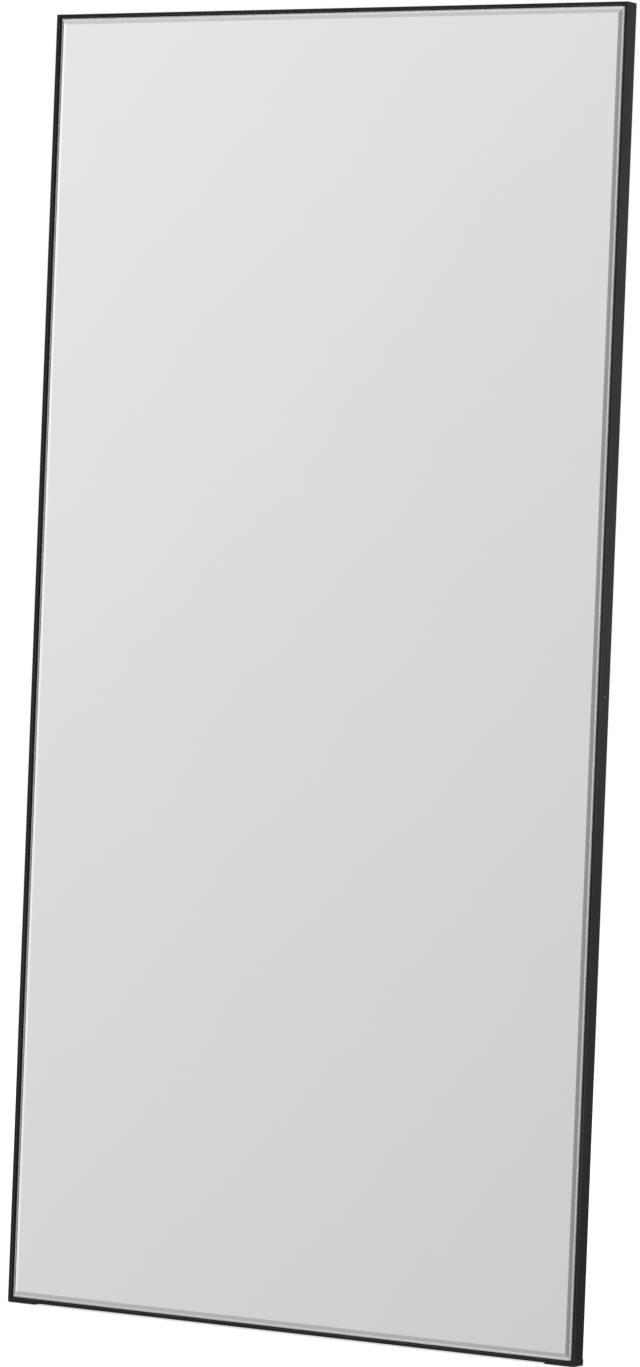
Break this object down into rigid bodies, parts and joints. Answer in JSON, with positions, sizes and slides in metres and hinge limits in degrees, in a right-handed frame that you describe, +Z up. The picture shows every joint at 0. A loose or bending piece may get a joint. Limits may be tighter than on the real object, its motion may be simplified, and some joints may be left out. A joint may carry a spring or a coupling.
{
  "type": "full-length mirror",
  "caption": "Tall leaning floor mirror: bevelled silvered pane in a thin black metal frame with a backing board, wall hanger rings, wall bumpers and anti-slip foot pads.",
  "frame": {"origin": "on the floor under the middle of the mirror, midway between the front edge of the frame and the tips of the wall bumpers", "axes": "+X to the right seen from the front, +Y from the front towards the wall, +Z up the mirror"},
  "size_m": [0.914, 0.028, 1.831],
  "materials": {
    "frame_black": "black powder coat, satin",
    "mirror_silver": "back-silvered float glass, polished bevel",
    "board_brown": "raw fibreboard",
    "tape_white": "foam mounting tape",
    "zinc_steel": "zinc plated steel",
    "rubber_black": "matt black rubber"
  },
  "bodies": {
    "mirror": {"backing_board": "board_brown", "board_screws": "zinc_steel", "bottom_rail": "frame_black", "bumper_screws": "zinc_steel", "corner_key_bottom_left": "zinc_steel", "corner_key_bottom_right": "zinc_steel", "corner_key_screws": "zinc_steel", "corner_key_top_left": "zinc_steel", "corner_key_top_right": "zinc_steel", "foot_pad_left": "rubber_black", "foot_pad_right": "rubber_black", "hanger_plate_left": "zinc_steel", "hanger_plate_right": "zinc_steel", "hanger_screws": "zinc_steel", "left_stile": "frame_black", "mirror_glass": "mirror_silver", "mounting_tape": "tape_white", "right_stile": "frame_black", "side_screws": "zinc_steel", "top_rail": "frame_black", "wall_bumper_bottom_left": "rubber_black", "wall_bumper_bottom_right": "rubber_black", "wall_bumper_top_left": "rubber_black", "wall_bumper_top_right": "rubber_black"},
    "left_ring": {"hanger_ring_left": "zinc_steel"},
    "right_ring": {"hanger_ring_right": "zinc_steel"}
  },
  "joints": [
    {"name": "left_ring_swing", "type": "hinge", "parent": "mirror", "child": "left_ring", "pos_m": [-0.44, 0.0083, 1.511], "axis": [1, 0, 0], "range_deg": [0, 180]},
    {"name": "right_ring_swing", "type": "hinge", "parent": "mirror", "child": "right_ring", "pos_m": [0.44, 0.0083, 1.511], "axis": [1, 0, 0], "range_deg": [0, 180]}
  ]
}
